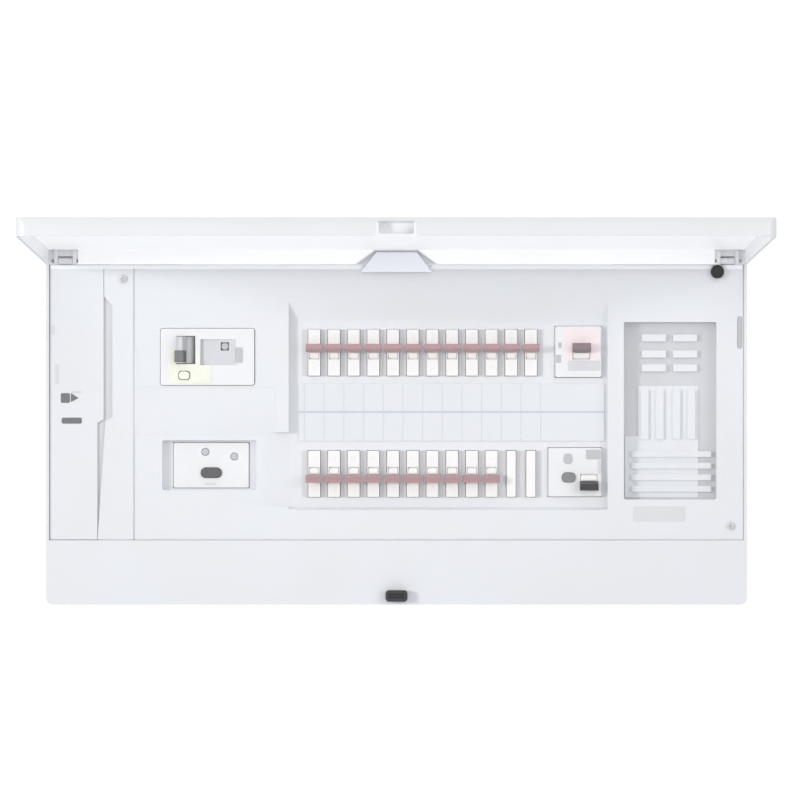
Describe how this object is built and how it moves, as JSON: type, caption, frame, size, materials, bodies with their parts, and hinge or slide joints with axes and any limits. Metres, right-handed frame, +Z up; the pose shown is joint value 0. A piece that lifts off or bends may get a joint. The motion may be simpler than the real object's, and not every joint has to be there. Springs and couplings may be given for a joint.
{
  "type": "breaker panel box",
  "caption": "Wide white wall-mounted breaker panel box with a top-hinged tray door open over rows of toggle breakers, a main breaker, a label strip and an accessory bay.",
  "frame": {"origin": "centre of the back face, on the wall", "axes": "+X to the right seen from the front, +Y from the front into the wall, +Z up"},
  "size_m": [0.604, 0.3921, 0.325],
  "materials": {
    "case_white": "moulded white plastic, fine satin texture",
    "door_white": "moulded white plastic, fine satin texture",
    "base_grey": "moulded light grey plastic",
    "breaker_white": "warm white thermoset, satin",
    "breaker_pink": "pale pink thermoset, satin",
    "toggle_red": "dark red plastic, satin",
    "dark_plastic": "near-black plastic, satin",
    "black_rubber": "soft black rubber, dull",
    "button_yellow": "pale yellow plastic",
    "stay_grey_blue": "grey-blue plastic",
    "zinc_steel": "zinc plated, dull",
    "copper": "bare copper, slightly tarnished",
    "brass": "bright brass",
    "paper": "plain printed card",
    "clear_plastic": "clear plastic, polished"
  },
  "bodies": {
    "case": {"outer_frame": "case_white", "inner_cover": "case_white", "limiter_cover": "case_white", "accessory_bay_plate": "case_white", "back_base": "base_grey", "bus_bar_support": "base_grey", "branch_breakers_upper": "breaker_white", "branch_breakers_lower": "breaker_white", "blank_filler": "breaker_white", "main_breaker_body": "breaker_white", "aux_breaker_lower_body": "breaker_white", "monitor_unit_body": "breaker_white", "aux_breaker_upper_body": "breaker_pink", "latch_catch": "dark_plastic", "door_bumper": "black_rubber", "door_stay": "stay_grey_blue", "mounting_plate": "zinc_steel", "limiter_plate": "zinc_steel", "hinge_pin_left": "zinc_steel", "hinge_pin_right": "zinc_steel", "cover_screw_left": "zinc_steel", "cover_screw_right": "zinc_steel", "bus_bar_line_1": "copper", "bus_bar_neutral": "copper", "bus_bar_line_2": "copper", "earth_terminal_bar": "brass", "label_card": "paper", "label_cover": "clear_plastic"},
    "door": {"door": "door_white", "door_latch_hook": "base_grey"},
    "main_handle": {"main_breaker_handle": "dark_plastic"},
    "main_test_button": {"main_test_button": "button_yellow"},
    "main_leak_indicator": {"main_leak_indicator": "dark_plastic"},
    "aux_upper_handle": {"aux_breaker_upper_handle": "dark_plastic"},
    "aux_lower_handle": {"aux_breaker_lower_handle": "dark_plastic"},
    "aux_test_button": {"aux_test_button": "dark_plastic"},
    "monitor_button": {"monitor_button": "dark_plastic"},
    "toggle_upper_01": {"toggle_upper_01": "toggle_red"},
    "toggle_upper_02": {"toggle_upper_02": "toggle_red"},
    "toggle_upper_03": {"toggle_upper_03": "toggle_red"},
    "toggle_upper_04": {"toggle_upper_04": "toggle_red"},
    "toggle_upper_05": {"toggle_upper_05": "toggle_red"},
    "toggle_upper_06": {"toggle_upper_06": "toggle_red"},
    "toggle_upper_07": {"toggle_upper_07": "toggle_red"},
    "toggle_upper_08": {"toggle_upper_08": "toggle_red"},
    "toggle_upper_09": {"toggle_upper_09": "toggle_red"},
    "toggle_upper_10": {"toggle_upper_10": "toggle_red"},
    "toggle_upper_11": {"toggle_upper_11": "toggle_red"},
    "toggle_upper_12": {"toggle_upper_12": "toggle_red"},
    "toggle_lower_01": {"toggle_lower_01": "toggle_red"},
    "toggle_lower_02": {"toggle_lower_02": "toggle_red"},
    "toggle_lower_03": {"toggle_lower_03": "toggle_red"},
    "toggle_lower_04": {"toggle_lower_04": "toggle_red"},
    "toggle_lower_05": {"toggle_lower_05": "toggle_red"},
    "toggle_lower_06": {"toggle_lower_06": "toggle_red"},
    "toggle_lower_07": {"toggle_lower_07": "toggle_red"},
    "toggle_lower_08": {"toggle_lower_08": "toggle_red"},
    "toggle_lower_09": {"toggle_lower_09": "toggle_red"},
    "toggle_lower_10": {"toggle_lower_10": "toggle_red"}
  },
  "joints": [
    {"name": "door_hinge", "type": "hinge", "parent": "case", "child": "door", "pos_m": [0, -0.0988, 0.1335], "axis": [1, 0, 0], "range_deg": [0, 92.6]},
    {"name": "main_handle_tip", "type": "hinge", "parent": "case", "child": "main_handle", "pos_m": [-0.1815, -0.0845, 0.057], "axis": [0, 0, 1], "range_deg": [0, 36]},
    {"name": "main_test_button_push", "type": "slide", "parent": "case", "child": "main_test_button", "axis": [0, 1, 0], "range_m": [0, 0.0018], "stiffness_N_per_m": 150},
    {"name": "main_leak_indicator_pop", "type": "slide", "parent": "case", "child": "main_leak_indicator", "axis": [0, -1, 0], "range_m": [0, 0.0015]},
    {"name": "aux_upper_handle_tip", "type": "hinge", "parent": "case", "child": "aux_upper_handle", "pos_m": [0.1595, -0.0825, 0.0547], "axis": [1, 0, 0], "range_deg": [0, 36]},
    {"name": "aux_lower_handle_tip", "type": "hinge", "parent": "case", "child": "aux_lower_handle", "pos_m": [0.166, -0.0825, -0.056], "axis": [-1, 0, 0], "range_deg": [0, 36]},
    {"name": "aux_test_button_push", "type": "slide", "parent": "case", "child": "aux_test_button", "axis": [0, 1, 0], "range_m": [0, 0.0018], "stiffness_N_per_m": 150},
    {"name": "monitor_button_push", "type": "slide", "parent": "case", "child": "monitor_button", "axis": [0, 1, 0], "range_m": [0, 0.0018], "stiffness_N_per_m": 150},
    {"name": "toggle_upper_01_tip", "type": "hinge", "parent": "case", "child": "toggle_upper_01", "pos_m": [-0.071, -0.0825, 0.0547], "axis": [1, 0, 0], "range_deg": [0, 36]},
    {"name": "toggle_upper_02_tip", "type": "hinge", "parent": "case", "child": "toggle_upper_02", "pos_m": [-0.054, -0.0825, 0.0547], "axis": [1, 0, 0], "range_deg": [0, 36]},
    {"name": "toggle_upper_03_tip", "type": "hinge", "parent": "case", "child": "toggle_upper_03", "pos_m": [-0.037, -0.0825, 0.0547], "axis": [1, 0, 0], "range_deg": [0, 36]},
    {"name": "toggle_upper_04_tip", "type": "hinge", "parent": "case", "child": "toggle_upper_04", "pos_m": [-0.02, -0.0825, 0.0547], "axis": [1, 0, 0], "range_deg": [0, 36]},
    {"name": "toggle_upper_05_tip", "type": "hinge", "parent": "case", "child": "toggle_upper_05", "pos_m": [-0.003, -0.0825, 0.0547], "axis": [1, 0, 0], "range_deg": [0, 36]},
    {"name": "toggle_upper_06_tip", "type": "hinge", "parent": "case", "child": "toggle_upper_06", "pos_m": [0.014, -0.0825, 0.0547], "axis": [1, 0, 0], "range_deg": [0, 36]},
    {"name": "toggle_upper_07_tip", "type": "hinge", "parent": "case", "child": "toggle_upper_07", "pos_m": [0.031, -0.0825, 0.0547], "axis": [1, 0, 0], "range_deg": [0, 36]},
    {"name": "toggle_upper_08_tip", "type": "hinge", "parent": "case", "child": "toggle_upper_08", "pos_m": [0.048, -0.0825, 0.0547], "axis": [1, 0, 0], "range_deg": [0, 36]},
    {"name": "toggle_upper_09_tip", "type": "hinge", "parent": "case", "child": "toggle_upper_09", "pos_m": [0.065, -0.0825, 0.0547], "axis": [1, 0, 0], "range_deg": [0, 36]},
    {"name": "toggle_upper_10_tip", "type": "hinge", "parent": "case", "child": "toggle_upper_10", "pos_m": [0.082, -0.0825, 0.0547], "axis": [1, 0, 0], "range_deg": [0, 36]},
    {"name": "toggle_upper_11_tip", "type": "hinge", "parent": "case", "child": "toggle_upper_11", "pos_m": [0.099, -0.0825, 0.0547], "axis": [1, 0, 0], "range_deg": [0, 36]},
    {"name": "toggle_upper_12_tip", "type": "hinge", "parent": "case", "child": "toggle_upper_12", "pos_m": [0.116, -0.0825, 0.0547], "axis": [1, 0, 0], "range_deg": [0, 36]},
    {"name": "toggle_lower_01_tip", "type": "hinge", "parent": "case", "child": "toggle_lower_01", "pos_m": [-0.071, -0.0825, -0.0499], "axis": [-1, 0, 0], "range_deg": [0, 36]},
    {"name": "toggle_lower_02_tip", "type": "hinge", "parent": "case", "child": "toggle_lower_02", "pos_m": [-0.054, -0.0825, -0.0499], "axis": [-1, 0, 0], "range_deg": [0, 36]},
    {"name": "toggle_lower_03_tip", "type": "hinge", "parent": "case", "child": "toggle_lower_03", "pos_m": [-0.037, -0.0825, -0.0499], "axis": [-1, 0, 0], "range_deg": [0, 36]},
    {"name": "toggle_lower_04_tip", "type": "hinge", "parent": "case", "child": "toggle_lower_04", "pos_m": [-0.02, -0.0825, -0.0499], "axis": [-1, 0, 0], "range_deg": [0, 36]},
    {"name": "toggle_lower_05_tip", "type": "hinge", "parent": "case", "child": "toggle_lower_05", "pos_m": [-0.003, -0.0825, -0.0499], "axis": [-1, 0, 0], "range_deg": [0, 36]},
    {"name": "toggle_lower_06_tip", "type": "hinge", "parent": "case", "child": "toggle_lower_06", "pos_m": [0.014, -0.0825, -0.0499], "axis": [-1, 0, 0], "range_deg": [0, 36]},
    {"name": "toggle_lower_07_tip", "type": "hinge", "parent": "case", "child": "toggle_lower_07", "pos_m": [0.031, -0.0825, -0.0499], "axis": [-1, 0, 0], "range_deg": [0, 36]},
    {"name": "toggle_lower_08_tip", "type": "hinge", "parent": "case", "child": "toggle_lower_08", "pos_m": [0.048, -0.0825, -0.0499], "axis": [-1, 0, 0], "range_deg": [0, 36]},
    {"name": "toggle_lower_09_tip", "type": "hinge", "parent": "case", "child": "toggle_lower_09", "pos_m": [0.065, -0.0825, -0.0499], "axis": [-1, 0, 0], "range_deg": [0, 36]},
    {"name": "toggle_lower_10_tip", "type": "hinge", "parent": "case", "child": "toggle_lower_10", "pos_m": [0.082, -0.0825, -0.0499], "axis": [-1, 0, 0], "range_deg": [0, 36]}
  ]
}
